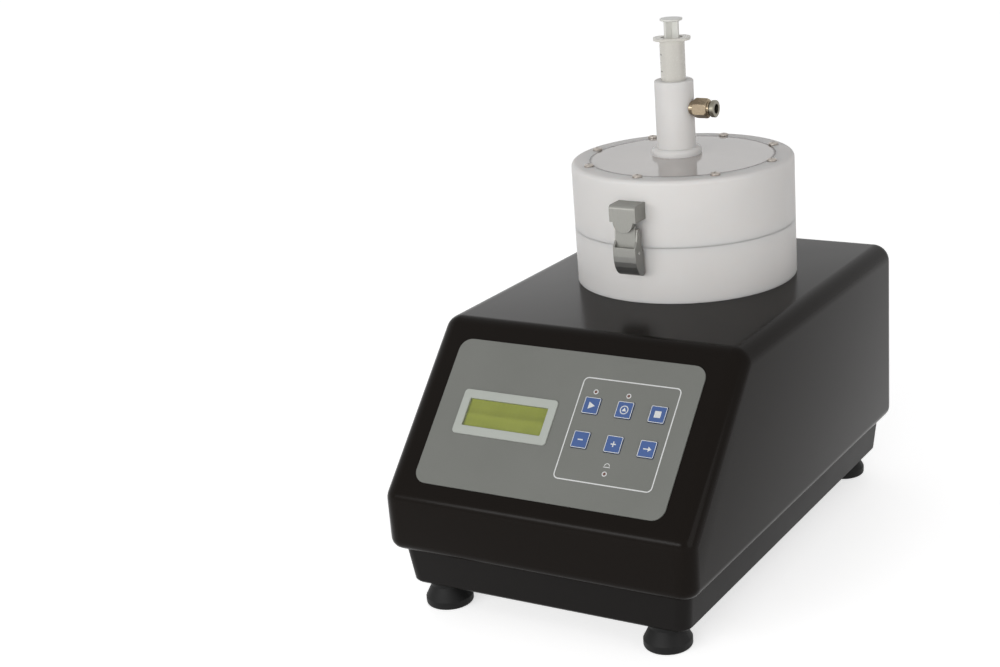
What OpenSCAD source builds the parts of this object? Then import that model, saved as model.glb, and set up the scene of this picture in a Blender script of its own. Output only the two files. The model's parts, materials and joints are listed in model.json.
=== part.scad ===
// Bench-top vacuum spin coater with a slanted control panel and a round coating chamber.
// +Z is up and the panel faces -Y. The origin is the centre of the footprint, on the bench.

/* [Housing] */
// Width of the housing
body_w = 220; // [210:1:250]
// Length of the housing, front to back
body_l = 344; // [340:1:380]
// Height of the housing's top above the bench
body_top = 173.5; // [170:0.5:185]
// Height of the bend between the upright front and the slope
bend_z = 81; // [78:0.5:84]
// Depth that the slope takes
slope_d = 89; // [86:0.5:94]
// Height of the housing's lower edge above the bench
cover_z = 42.5; // [40:0.5:46]
// Radius of the housing's edges
edge_r = 12; // [10:0.5:13]
// Radius of the housing's lower edge
lip_r = 7; // [5:0.5:8]
// Wall of the housing
cover_wall = 3; // [2.5:0.1:3.5]

/* [Tray and feet] */
// Height of the tray's underside above the bench
tray_z = 17; // [15:0.5:20]
// Inset of the tray's underside from the housing's sides
tray_inset = 10; // [9:0.25:12]
// Thickness of the tray's floor and walls
tray_wall = 2.5; // [2:0.1:3]
// Radius of a foot on the bench
foot_r = 15.4; // [14:0.1:17]
// Distance from a foot's centre to the housing's side
foot_side = 30; // [29:0.5:34]
// Distance from the front feet's centres to the housing's front
foot_front = 24; // [23:0.5:30]
// Distance from the rear feet's centres to the housing's rear
foot_rear = 28; // [24:0.5:32]

/* [Control panel] */
// Width of the panel overlay
panel_w = 177; // [170:1:184]
// Height of the panel overlay along the slope
panel_h = 101.5; // [98:0.5:104]
// Distance up the slope from the bend to the overlay's lower edge
panel_v = 12; // [10:0.5:14]
// Corner radius of the overlay
panel_r = 8.5; // [4:0.5:12]
// Thickness of the overlay
panel_t = 0.9; // [0.6:0.1:1.2]
// Width of the display bezel
bezel_w = 68.5; // [66:0.5:72]
// Height of the display bezel
bezel_h = 30.5; // [29:0.5:34]
// Width of the display window
window_w = 57.5; // [54:0.5:60]
// Height of the display window
window_h = 19; // [16:0.5:22]
// Distance from the panel's middle to the bezel's centre
bezel_u = -38.25; // [-42:0.25:-37]
// Distance up the slope to the bezel's centre
bezel_v = 63.25; // [60:0.25:68]
// Width and height of a key
key_size = 11; // [10:0.5:13]
// Travel of a key
key_travel = 0.5; // [0.3:0.1:0.6]
// Distance between neighbouring keys, across and up
key_pitch = 23; // [21:0.5:24]
// Distance from the panel's middle to the middle column of keys
key_u = 42; // [40:0.5:44]
// Distance up the slope to the lower row of keys
key_v = 55.5; // [54:0.5:60]

/* [Chamber] */
// Distance from the housing's front to the chamber's axis
chamber_back = 230; // [224:1:232]
// Outer radius of the chamber
chamber_r = 76; // [74:0.5:80]
// Height of the bowl
bowl_h = 37.5; // [36:0.5:42]
// Height of the lid above the seam
lid_h = 44.5; // [43:0.5:50]
// Inner radius of the bowl
bowl_r = 62; // [60:0.5:63]
// Thickness of the bowl's floor
bowl_floor = 8; // [7:0.5:10]
// Radius of the clear disc in the lid
disc_r = 63.3; // [62.5:0.1:64]
// Thickness of the clear disc
disc_t = 6; // [4:0.5:8]
// Number of screws around the disc
disc_screws = 8; // [6:1:12]
// Gap between the bowl and the closed lid
seam_gap = 0.3; // [0.2:0.05:0.5]

/* [Syringe holder] */
// Sideways offset of the holder from the chamber's axis
holder_x = -6.75; // [-8:0.25:0]
// Offset of the holder behind the chamber's axis
holder_y = 5; // [0:0.25:8]
// Outer radius of the holder
holder_r = 13.3; // [12.5:0.1:15]
// Height of the holder above the lid
holder_h = 45.5; // [42:0.5:52]
// Radius of the holder's foot flange
flange_r = 17.1; // [16.5:0.1:19]
// Outer radius of the syringe barrel
barrel_r = 8.5; // [8:0.1:8.8]
// Length of the syringe barrel from its shoulder to its finger flange
barrel_l = 73; // [68:0.5:80]
// Height of the thumb disc above the finger flange
plunger_out = 12.5; // [10:0.5:16]
// Height of the gas fitting above the lid
fitting_z = 32; // [28:0.5:36]
// Radius of the tube that the gas fitting takes
tube_r = 3.1; // [2.9:0.05:3.2]

/* [Drive] */
// Radius of the spindle
spindle_r = 6; // [5:0.25:6.5]
// Radius of the vacuum passage through the spindle
passage_r = 1.5; // [1:0.1:2]
// Running clearance around the spindle
run_fit = 0.03; // [0.02:0.01:0.05]
// Radius of the motor housing
motor_r = 36; // [35:0.5:38]
// Length of the motor housing
motor_l = 64; // [60:1:68]
// Thickness of the motor plate
plate_t = 8; // [6:0.5:10]
// Radius of the vacuum chuck
chuck_r = 25; // [22:0.5:30]
// Height of the chuck's face above the bowl's floor
chuck_h = 18.5; // [17:0.5:22]
// Radius of the vacuum port's hose tail
tail_r = 4; // [3.5:0.1:4.5]
// Length of the hose tail behind the housing
tail_l = 20; // [16:1:26]

/* [Hidden] */
$fn = 48;
// Overlap of joined shapes, and thickness of the slices that a hull is stretched over
eps = 0.01;
slice_t = 0.5;

// Places
front_y = -(body_l + tail_l) / 2;
rear_y = front_y + body_l;
mid_y = (front_y + rear_y) / 2;
chamber_y = front_y + chamber_back;
slope_a = atan2(body_top - bend_z, slope_d);
seam_z = body_top + bowl_h;
lid_top = seam_z + lid_h;
foot_places = [
  for (sx = [-1, 1], y = [front_y + foot_front, rear_y - foot_rear]) [sx * (body_w / 2 - foot_side), y]
];

// Screws: shank radius, head radius and head height
m3 = [1.5, 2.8, 1.8];
m4 = [2, 3.6, 2.6];
screw_gap = 0.15;

// ---------- Shared shapes ----------

// A flat plate with rounded corners
module plate(w, h, r, t)
  linear_extrude(t) {
    square([w - 2 * r, h], center = true);
    square([w, h - 2 * r], center = true);
    for (sx = [-1, 1], sy = [-1, 1])
      translate([sx * (w / 2 - r), sy * (h / 2 - r)]) circle(r);
  }

// A ring with a square section
module ring(outer, inner, h)
  difference() {
    cylinder(r = outer, h = h);
    translate([0, 0, -1]) cylinder(r = inner, h = h + 2);
  }

// A pan-head screw: the shank points down from z = 0 and the head stands on z = 0
module screw(size, length) {
  head_r = size[1];
  head_h = size[2];
  difference() {
    rotate_extrude() {
      square([head_r, head_h / 2]);
      intersection() {
        translate([0, head_h / 2]) scale([1, 0.5 * head_h / head_r]) circle(head_r);
        square([head_r, head_h]);
      }
      translate([0, -length]) square([size[0], length + eps]);
    }
    // Hexagon socket
    translate([0, 0, head_h * 0.45]) cylinder(r = size[0] * 0.75, h = head_h, $fn = 6);
  }
}

// Places children on the slope: X across, Y up the slope, Z out of the panel
module on_slope() translate([0, front_y, bend_z]) rotate([slope_a, 0, 0]) children();

// Places children on the chamber's axis at height z
module on_axis(z) translate([0, chamber_y, z]) children();

// Places children on the rear wall: X across, Y up, Z out of the wall
module on_rear(x, z) translate([x, rear_y, z]) rotate([90, 0, 180]) children();

// ---------- Housing ----------

flange_in = lip_r + 12;
boss_r = 6;
boss_top = cover_z + 16;
board_w = 154;
board_h = 76;
board_v = 64;
board_t = 1.6;
board_depth = cover_wall + 6;
board_boss_u = board_w / 2 - 5;
board_boss_v = board_h / 2 - 5;
stem_r = 2.5;
bowl_screw_r = 29;
spindle_hole_r = spindle_r + 4;

// A ball whose facets reach its full radius in every main direction
module ball(r) rotate_extrude($fn = 40) polygon([for (a = [-90:9:90]) r * [cos(a), sin(a)]]);

// The rounded solid of the housing, smaller by gap on every side
module cover_form(gap) {
  bend = [edge_r, bend_z - edge_r * (1 - sin(slope_a)) / cos(slope_a)];
  brow = [slope_d + edge_r * (1 - cos(slope_a)) / sin(slope_a), body_top - edge_r];
  rear = [body_l - edge_r, body_top - edge_r];
  lip = lip_r - gap;
  hull()
    for (sx = [-1, 1]) translate([sx * (body_w / 2 - edge_r), front_y, 0]) {
      for (p = [bend, brow, rear]) translate([0, p[0], p[1]]) ball(edge_r - gap);
      for (y = [edge_r, body_l - edge_r], a = [0:22.5:90])
        translate([0, y, cover_z + gap + lip * (1 - cos(a))])
          cylinder(r = edge_r - gap - lip * (1 - sin(a)), h = slice_t, $fn = 40);
    }
}

module housing_cover() color([0.16, 0.15, 0.15]) {
  difference() {
    cover_form(0);
    cover_form(cover_wall);
    // The open underside leaves a flange that widens at the foot screws
    translate([0, mid_y, cover_z - 1]) {
      plate(body_w - 2 * flange_in, body_l - 2 * (foot_rear + boss_r + 4), 6, cover_wall + 2);
      plate(body_w - 2 * (foot_side + boss_r + 4), body_l - 2 * flange_in, 6, cover_wall + 2);
    }
    for (p = foot_places) translate([p[0], p[1], cover_z - 1]) cylinder(r = m4[0] + 0.03, h = 20);
    // Display opening and the holes of keys and lamps
    on_slope() {
      translate([bezel_u, bezel_v, -2 * cover_wall])
        plate(module_w + 2 * module_gap, module_h + 2 * module_gap, 1, 3 * cover_wall);
      for (p = key_places) translate([p[0], p[1], -2 * cover_wall]) cylinder(r = stem_r + 0.5, h = 20);
      for (p = lamp_places) translate([p[0], p[1], -2 * cover_wall]) cylinder(r = lamp_r + 0.2, h = 20);
    }
    // Spindle hole and bowl screws in the top
    on_axis(body_top - 2 * cover_wall) {
      cylinder(r = spindle_hole_r, h = 20);
      for (a = [45:90:315]) rotate(a) translate([bowl_screw_r, 0]) cylinder(r = m4[0] + screw_gap, h = 20);
    }
    // Rear openings
    on_rear(inlet_x, socket_z) translate([0, 0, -10]) plate(socket_w + 0.4, socket_h + 0.4, 2, 20);
    on_rear(outlet_x, socket_z) translate([0, 0, -10]) plate(socket_w + 0.4, socket_h + 0.4, 2, 20);
    on_rear(rocker_x, socket_z) translate([0, 0, -10]) plate(rocker_w + 0.4, rocker_h + 0.4, 1, 20);
    on_rear(fuse_x, socket_z) translate([0, 0, -10]) cylinder(r = fuse_r + 0.15, h = 20);
    on_rear(0, hose_z) translate([0, 0, -10]) cylinder(r = port_r + 0.15, h = 20);
  }
  // Bosses for the foot screws
  for (p = foot_places) translate([p[0], p[1], cover_z + cover_wall - eps])
    ring(boss_r, m4[0] + 0.03, boss_top - cover_z - cover_wall);
  // Bosses for the panel board
  on_slope() for (u = [-board_boss_u, board_boss_u], v = [board_v - board_boss_v, board_v + board_boss_v])
    translate([u, v, -board_depth]) cylinder(r = 3, h = board_depth - cover_wall + 0.2);
}

// ---------- Tray and feet ----------

tray_top_in = lip_r + 0.5;
tray_r = 9;
post_r = 7;

// Four discs at the corners of the tray's outline at height z
module tray_slice(z, inset, r)
  for (sx = [-1, 1], sy = [-1, 1])
    translate([sx * (body_w / 2 - inset - r), mid_y + sy * (body_l / 2 - inset - r), z])
      cylinder(r = r, h = slice_t, $fn = 32);

module base_tray() color([0.13, 0.13, 0.13]) {
  difference() {
    hull() {
      tray_slice(tray_z, tray_inset + 1.5, tray_r - 1.5);
      tray_slice(tray_z + 1.5, tray_inset, tray_r);
      tray_slice(cover_z - slice_t, tray_top_in, tray_r);
    }
    hull() {
      tray_slice(tray_z + tray_wall, tray_inset + tray_wall, tray_r - tray_wall);
      tray_slice(cover_z + 1, tray_top_in + tray_wall, tray_r - tray_wall);
    }
    for (p = foot_places) translate([p[0], p[1], tray_z - 1]) cylinder(r = m4[0] + screw_gap, h = 20);
    // Air slots under the electronics
    for (sx = [-1, 1], i = [0:5]) translate([sx * 45, mid_y - 30 + i * 12, tray_z - 1])
      plate(40, 4, 1.8, tray_wall + 2);
  }
  for (p = foot_places) translate([p[0], p[1], tray_z + tray_wall - eps])
    ring(post_r, m4[0] + screw_gap, cover_z - tray_z - tray_wall + eps);
}

foot_head_z = 5;

foot_round = 2;
foot_rim_z = 5.5;
foot_waist_z = tray_z - 3.5;
foot_waist_r = foot_r - 4.2;

module foot() {
  difference() {
    rotate_extrude() {
      square([foot_r - foot_round, foot_rim_z]);
      translate([foot_r - foot_round, foot_round]) circle(foot_round);
      // The flank slopes in from the rim to a waist under the tray
      polygon([
        [0, foot_round], [foot_r, foot_round], [foot_r, foot_rim_z], [foot_waist_r, foot_waist_z],
        [foot_waist_r, tray_z], [0, tray_z]
      ]);
    }
    translate([0, 0, -1]) cylinder(r = m4[1] + 0.4, h = foot_head_z + 1);
    translate([0, 0, -1]) cylinder(r = m4[0] + screw_gap, h = tray_z + 2);
  }
}

module rubber_feet() color([0.06, 0.06, 0.06])
  for (p = foot_places) translate([p[0], p[1], 0]) foot();

module foot_screws() color("silver")
  for (p = foot_places) translate([p[0], p[1], foot_head_z]) mirror([0, 0, 1])
    screw(m4, boss_top - foot_head_z - 4);

// ---------- Control panel ----------

lamp_r = 1.5;
lamp_v = key_v + key_pitch + 9.5;
cover_lamp_v = 36;
key_places = [
  for (row = [1, 0], col = [-1, 0, 1]) [key_u + col * key_pitch, key_v + row * key_pitch]
];
lamp_places = [[key_u - key_pitch, lamp_v], [key_u, lamp_v], [key_u, cover_lamp_v]];
key_cap_t = 0.8;
bezel_t = 0.8;
glass_down = 0.2;
glass_t = panel_t + bezel_t - glass_down;
module_w = window_w + 5;
module_h = window_h + 5;
module_gap = 0.5;

module panel_overlay() color([0.5, 0.5, 0.48])
  on_slope() difference() {
    translate([0, panel_v + panel_h / 2]) plate(panel_w, panel_h, panel_r, panel_t);
    translate([bezel_u, bezel_v, -1]) plate(window_w, window_h, 0.8, 5);
    for (p = key_places) translate([p[0], p[1], -1]) plate(key_size + 0.6, key_size + 0.6, 1, 5);
    for (p = lamp_places) translate([p[0], p[1], -1]) cylinder(r = lamp_r + 0.1, h = 5);
  }

module display_bezel() color([0.8, 0.82, 0.79])
  on_slope() translate([bezel_u, bezel_v, panel_t]) difference() {
    plate(bezel_w, bezel_h, 2.5, bezel_t);
    translate([0, 0, -1]) plate(window_w, window_h, 0.8, 5);
  }

module display_window() color([0.8, 0.85, 0.7, 0.4])
  on_slope() translate([bezel_u, bezel_v, 0]) plate(window_w - 0.2, window_h - 0.2, 0.7, glass_t);

// Display glass on its own small circuit board, screwed against the housing's inside
module display_module() color([0.55, 0.6, 0.3])
  on_slope() translate([bezel_u, bezel_v, 0]) {
    translate([0, 0, -cover_wall - 0.1]) plate(module_w, module_h, 0.8, cover_wall + 0.1);
    translate([0, 0, -cover_wall - board_t - 0.05]) plate(module_w + 9, module_h + 7, 1, board_t);
  }

module panel_board() color([0.1, 0.35, 0.2])
  on_slope() {
    difference() {
      translate([0, board_v, -board_depth - board_t]) plate(board_w, board_h, 2, board_t);
      // Cable slot behind the display
      translate([bezel_u, bezel_v - 8, -board_depth - 5]) plate(30, 6, 1, 10);
    }
    for (p = key_places) translate([p[0], p[1], -board_depth - eps]) {
      translate([-3, -3, 0]) cube([6, 6, 1.8]);
      cylinder(r = 1.7, h = board_depth + stem_foot - 0.1);
    }
  }

// Lowest point of a key's stem, measured from the housing's face
stem_foot = -cover_wall - 2.5;

module indicator_lamps() color([0.55, 0.15, 0.12])
  on_slope() for (p = lamp_places) translate([p[0], p[1], -board_depth]) {
    cylinder(r = lamp_r, h = board_depth + panel_t - 0.2);
    translate([0, 0, board_depth + panel_t - 0.2]) scale([1, 1, 0.35]) sphere(lamp_r);
    cylinder(r = lamp_r + 0.5, h = 1);
  }

// A key cap on a stem that reaches down to its switch
module key(i) color([0.2, 0.33, 0.68])
  on_slope() translate([key_places[i][0], key_places[i][1], 0]) {
    translate([0, 0, key_travel + 0.2]) plate(key_size, key_size, 0.8, key_cap_t);
    translate([0, 0, stem_foot + key_travel + 0.1]) cylinder(r = stem_r, h = 0.1 - stem_foot + eps);
  }

module key_run() key(0);
module key_pump() key(1);
module key_stop() key(2);
module key_minus() key(3);
module key_plus() key(4);
module key_cursor() key(5);

// ---------- Drive ----------

plate_r = 60;
plate_z = body_top - cover_wall - plate_t;
motor_z = plate_z - motor_l;
motor_wall = 3;
end_cap = 10;
bearing_r = 14;
bearing_t = 8;
stator_in = 20;
rotor_r = 19.4;
union_l = 22;
union_r = 14;
shaft_foot = motor_z - 14;
chuck_z = body_top + bowl_floor + chuck_h;
chuck_t = 5;
hub_r = 10;
hub_l = chuck_h - 3;
hose_z = motor_z - union_l / 2;
hose_in = 3;
hose_out = 5;

module motor_plate() color("silver")
  on_axis(plate_z) difference() {
    cylinder(r = plate_r, h = plate_t);
    translate([0, 0, -1]) cylinder(r = spindle_hole_r, h = plate_t + 2);
    for (a = [45:90:315]) rotate(a) translate([bowl_screw_r, 0, -1])
      cylinder(r = m4[0] + screw_gap, h = plate_t + 2);
    // Lightening holes between the screws
    for (a = [0:90:270]) rotate(a) translate([47, 0, -1]) cylinder(r = 7, h = plate_t + 2);
  }

module motor_housing() color([0.35, 0.36, 0.38])
  on_axis(motor_z) difference() {
    union() {
      cylinder(r = motor_r, h = motor_l);
      // Cooling ribs
      for (z = [14:6:motor_l - 14]) translate([0, 0, z]) cylinder(r = motor_r + 1.5, h = 2);
    }
    translate([0, 0, end_cap]) cylinder(r = motor_r - motor_wall, h = motor_l - 2 * end_cap);
    translate([0, 0, -1]) cylinder(r = spindle_r + 2, h = motor_l + 2);
    for (z = [end_cap - bearing_t, motor_l - end_cap - eps])
      translate([0, 0, z]) cylinder(r = bearing_r, h = bearing_t + eps);
    for (a = [45:90:315]) rotate(a) translate([bowl_screw_r, 0, motor_l - 8])
      cylinder(r = m4[0] + 0.03, h = 10);
  }

module stator() color([0.7, 0.45, 0.25])
  on_axis(motor_z + end_cap + 6) difference() {
    cylinder(r = motor_r - motor_wall, h = motor_l - 2 * end_cap - 12);
    translate([0, 0, -1]) cylinder(r = stator_in, h = motor_l);
    // Winding slots
    for (a = [0:40:320]) rotate(a) translate([stator_in - 1, -1.2, -1]) cube([9, 2.4, motor_l]);
  }

module rotor() color([0.4, 0.4, 0.42])
  on_axis(motor_z + end_cap + 4)
    ring(rotor_r, spindle_r, motor_l - 2 * end_cap - 8);

module spindle_bearings() color([0.75, 0.76, 0.78])
  on_axis(motor_z) for (z = [end_cap - bearing_t, motor_l - end_cap])
    translate([0, 0, z]) difference() {
      ring(bearing_r, spindle_r + run_fit, bearing_t);
      // Grooves between the rings on both faces
      for (side = [-1, bearing_t - 1]) translate([0, 0, side]) ring(11.5, 8.5, 2);
    }

module spindle_shaft() color("silver")
  on_axis(0) difference() {
    translate([0, 0, shaft_foot]) cylinder(r = spindle_r, h = chuck_z - chuck_t - shaft_foot);
    translate([0, 0, shaft_foot - 1]) cylinder(r = passage_r, h = chuck_z);
  }

// A round chuck face with a vacuum hole, ring grooves and a seal groove, on a hub over the shaft
module vacuum_chuck() color([0.86, 0.86, 0.85])
  on_axis(0) difference() {
    union() {
      translate([0, 0, chuck_z - chuck_t]) cylinder(r = chuck_r, h = chuck_t);
      translate([0, 0, chuck_z - hub_l]) cylinder(r = hub_r, h = hub_l - 1);
    }
    translate([0, 0, chuck_z - hub_l - 1]) cylinder(r = spindle_r, h = hub_l - chuck_t + 1);
    translate([0, 0, chuck_z - hub_l]) cylinder(r = passage_r, h = hub_l + 1);
    for (r = [8, 14]) translate([0, 0, chuck_z - 0.8]) ring(r + 0.6, r - 0.6, 2);
    for (a = [0, 90]) rotate(a) translate([-14, -0.6, chuck_z - 0.8]) cube([28, 1.2, 2]);
    translate([0, 0, chuck_z - 2 * seal_wire]) ring(seal_r + seal_wire, seal_r - seal_wire, 3);
  }

seal_wire = 1;
seal_r = chuck_r - 4;

module chuck_seal() color([0.12, 0.12, 0.12])
  on_axis(chuck_z - seal_wire) rotate_extrude() translate([seal_r, 0]) circle(seal_wire - 0.05);

// The union takes the turning shaft at its top and gives the vacuum out of its side
module rotary_union() color("goldenrod")
  on_axis(motor_z - union_l) difference() {
    union() {
      cylinder(r = union_r, h = union_l);
      translate([0, 0, union_l - 4]) cylinder(r = union_r + 5, h = 4);
      translate([0, 0, union_l / 2]) rotate([-90, 0, 0]) cylinder(r = hose_in - 0.05, h = union_r + 16);
      translate([0, 0, union_l / 2]) rotate([-90, 0, 0]) cylinder(r = 6, h = union_r + 3, $fn = 6);
    }
    translate([0, 0, 6]) cylinder(r = spindle_r + run_fit, h = union_l);
    translate([0, 0, union_l / 2]) rotate([-90, 0, 0]) cylinder(r = passage_r, h = union_r + 20);
  }

hose_start = chamber_y + union_r + 4;
valve_w = 28;
valve_l = 34;
valve_y = rear_y - cover_wall - valve_l - 3;
hose_end = valve_y - 1;

module vacuum_hose() color([0.75, 0.8, 0.85])
  translate([0, hose_start, hose_z]) rotate([-90, 0, 0]) ring(hose_out, hose_in, hose_end - hose_start);

module solenoid_valve() color([0.15, 0.17, 0.2])
  translate([0, valve_y, hose_z]) {
    difference() {
      union() {
        translate([-valve_w / 2, 0, -12]) cube([valve_w, valve_l, 24]);
        rotate([90, 0, 0]) cylinder(r = hose_in - 0.05, h = 16);
      }
      rotate([90, 0, 0]) translate([0, 0, -valve_l - 1]) cylinder(r = passage_r, h = valve_l + 20);
      translate([0, valve_l - 8, 0]) rotate([-90, 0, 0]) cylinder(r = 5 + 0.03, h = 10);
    }
    // Coil on top of the valve body
    translate([0, valve_l / 2, 12]) cylinder(r = 11, h = 24);
    translate([-6, valve_l / 2 + 8, 16]) cube([12, 8, 14]);
  }

port_r = 6.5;

// Port body through the rear wall: nut inside, hexagon collar and hose tail outside
module vacuum_port() color("goldenrod")
  on_rear(0, hose_z) difference() {
    union() {
      cylinder(r = 9, h = 6, $fn = 6);
      translate([0, 0, -cover_wall]) cylinder(r = port_r, h = cover_wall + 1);
      translate([0, 0, -cover_wall - 3]) cylinder(r = 10, h = 3, $fn = 6);
      translate([0, 0, -cover_wall - 3 - 7]) cylinder(r = 5, h = 10);
      cylinder(r = tail_r, h = tail_l);
    }
    translate([0, 0, -cover_wall - 12]) cylinder(r = passage_r, h = tail_l + 30);
  }

// ---------- Electrics ----------

socket_w = 27;
socket_h = 20;
socket_z = 72;
outlet_x = 40 - body_w / 2;
fuse_r = 6;
rocker_w = 13;
// The connectors stand in a row beside the valve
valve_gap = 5.5;
rocker_x = (valve_w + rocker_w) / 2 + valve_gap;
fuse_x = rocker_x + 18;
inlet_x = fuse_x + 30;
rocker_h = 19.5;
rocker_lean = 8;
rocker_wall = 1.2;
rocker_play = 0.4;
rocker_in = 1;
rocker_pin_r = 1.2;
floor_z = tray_z + tray_wall;

supply = [62, 120, 34];
supply_edge = 10;
terminals = [50, 8, 12];
control_w = 70;
control_l = 120;
standoff_h = 8;
standoff_in = 4;

module power_supply() color([0.7, 0.71, 0.72])
  translate([25 - body_w / 2, mid_y - supply[1] / 2, floor_z]) {
    difference() {
      cube(supply);
      for (y = [12:9:supply[1] - 20]) translate([supply_edge, y, supply[2] - 4])
        cube([supply[0] - 2 * supply_edge, 4, 5]);
    }
    translate([(supply[0] - terminals[0]) / 2, supply[1] - eps, 4]) cube(terminals);
  }

module control_board() color([0.1, 0.35, 0.2])
  translate([body_w / 2 - 60, mid_y, floor_z]) {
    translate([0, 0, standoff_h]) plate(control_w, control_l, 2, board_t);
    for (sx = [-1, 1], sy = [-1, 1])
      translate([sx * (control_w / 2 - standoff_in), sy * (control_l / 2 - standoff_in)])
        cylinder(r = 3, h = standoff_h + eps);
    // Two chips, a connector row and three capacitors
    translate([0, 0, standoff_h + board_t - eps]) {
      for (sy = [-1, 1]) translate([-9, sy * 30 - 9, 0]) cube([18, 18, 3]);
      translate([5 - control_w / 2, -20, 0]) cube([12, 40, 9]);
      for (i = [-1, 0, 1]) translate([24, i * 16, 0]) cylinder(r = 5, h = 16);
    }
  }

// A mains appliance inlet with three blades in a shaped recess
module power_inlet() color([0.08, 0.08, 0.08])
  on_rear(inlet_x, socket_z) {
    difference() {
      union() {
        plate(socket_w + 4, socket_h + 4, 3, 2.5);
        translate([0, 0, -24]) plate(socket_w, socket_h, 2, 25);
      }
      translate([0, 0, -15]) linear_extrude(20)
        polygon([[-12, -8], [12, -8], [12, 3.5], [7.5, 8], [-7.5, 8], [-12, 3.5]]);
    }
    for (p = [[-7, -2], [0, 2], [7, -2]]) translate([p[0] - 1, p[1] - 2, -16]) cube([2, 4, 13]);
  }

module fuse_holder() color([0.1, 0.1, 0.1])
  on_rear(fuse_x, socket_z) {
    translate([0, 0, -30]) cylinder(r = fuse_r, h = 31);
    cylinder(r = fuse_r + 2, h = 2);
    difference() {
      translate([0, 0, 2 - eps]) cylinder(r = fuse_r, h = 6);
      translate([-5, -0.7, 6.5]) cube([10, 1.4, 3]);
    }
  }

module rocker_frame() color([0.07, 0.07, 0.07])
  on_rear(rocker_x, socket_z) difference() {
    union() {
      plate(rocker_w + 3, rocker_h + 3, 1.5, 2);
      translate([0, 0, -18]) plate(rocker_w, rocker_h, 1, 19);
    }
    translate([rocker_wall - rocker_w / 2, rocker_wall - rocker_h / 2, -9])
      cube([rocker_w - 2 * rocker_wall, rocker_h - 2 * rocker_wall, 20]);
    translate([0, 0, -rocker_in]) rotate([0, 90, 0])
      cylinder(r = rocker_pin_r + run_fit, h = rocker_w - rocker_wall, center = true);
  }

// The rocker leans towards off. Its two faces meet in a shallow V over the pivot
module power_rocker() color([0.12, 0.12, 0.12])
  on_rear(rocker_x, socket_z) translate([0, 0, -rocker_in]) rotate([rocker_lean, 0, 0])
    rotate([90, 0, 90]) {
      linear_extrude(rocker_w - 2 * rocker_wall - 2 * rocker_play, center = true)
        polygon([[-7.8, 3.9], [0, 2.8], [7.8, 3.9], [7, -2], [3, -5], [-3, -5], [-7, -2]]);
      cylinder(r = rocker_pin_r, h = rocker_w - rocker_wall - 0.2, center = true);
    }

module pump_outlet() color([0.08, 0.08, 0.08])
  on_rear(outlet_x, socket_z) difference() {
    union() {
      plate(socket_w + 4, socket_h + 4, 3, 2.5);
      translate([0, 0, -22]) plate(socket_w, socket_h, 2, 23);
    }
    for (p = [[-7, -2], [0, 2], [7, -2]]) translate([p[0] - 1.2, p[1] - 2.3, -14]) cube([2.4, 4.6, 20]);
    translate([0, 0, 1.2]) difference() {
      plate(25.5, 17.5, 1, 3);
      translate([0, 0, -1]) plate(23.5, 15.5, 1, 5);
    }
  }

// ---------- Bowl ----------

groove_r = chamber_r - 7;
lid_seal_r = 1.5;
bowl_fillet = 6;
sensor_a = 150;
sensor_r = 1.75;
sensor_place = chamber_r - 2.9;
sensor_l = 11.8;
magnet_l = 5.5;

module chamber_bowl() color([0.93, 0.93, 0.92])
  on_axis(body_top) difference() {
    rotate_extrude($fn = 96) difference() {
      square([chamber_r, bowl_h]);
      translate([0, bowl_floor + bowl_fillet]) square([bowl_r, bowl_h]);
      translate([0, bowl_floor]) square([bowl_r - bowl_fillet, bowl_h]);
      translate([bowl_r - bowl_fillet, bowl_floor + bowl_fillet]) circle(bowl_fillet);
      translate([groove_r - lid_seal_r - 0.1, bowl_h - 2 * lid_seal_r]) square([2 * lid_seal_r + 0.2, 5]);
    }
    translate([0, 0, -1]) cylinder(r = spindle_hole_r, h = 20);
    for (a = [45:90:315]) rotate(a) translate([bowl_screw_r, 0]) {
      translate([0, 0, -1]) cylinder(r = m4[0] + screw_gap, h = 20);
      translate([0, 0, bowl_floor - m4[2] - 0.4]) cylinder(r = m4[1] + 0.4, h = 5);
    }
    rotate(sensor_a) translate([sensor_place, 0, bowl_h - 12]) cylinder(r = sensor_r + 0.05, h = 20);
    for (p = base_screws) latch_screw_hole(p[0], p[1]);
    for (p = leaf_screws) leaf_screw_hole(p, -1);
  }

module bowl_screws() color("silver")
  on_axis(body_top + bowl_floor - m4[2]) for (a = [45:90:315]) rotate(a) translate([bowl_screw_r, 0])
    screw(m4, bowl_floor - m4[2] + cover_wall + plate_t + 6);

module lid_seal() color([0.75, 0.3, 0.25])
  on_axis(seam_z - lid_seal_r + seam_gap / 2) rotate_extrude() translate([groove_r, 0]) circle(lid_seal_r);

module cover_sensor() color([0.1, 0.1, 0.1])
  on_axis(seam_z - 12) rotate(sensor_a) translate([sensor_place, 0]) cylinder(r = sensor_r, h = sensor_l);

module lid_magnet() color([0.6, 0.6, 0.62])
  on_axis(seam_z + seam_gap) rotate(sensor_a) translate([sensor_place, 0])
    cylinder(r = sensor_r, h = magnet_l);

// ---------- Lid ----------

lid_in = disc_r - 5.3;
lid_round = 3;
lid_screw_r = disc_r + 2.9;
lid_screw = [1.4, 3.3, 1.9];

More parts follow.
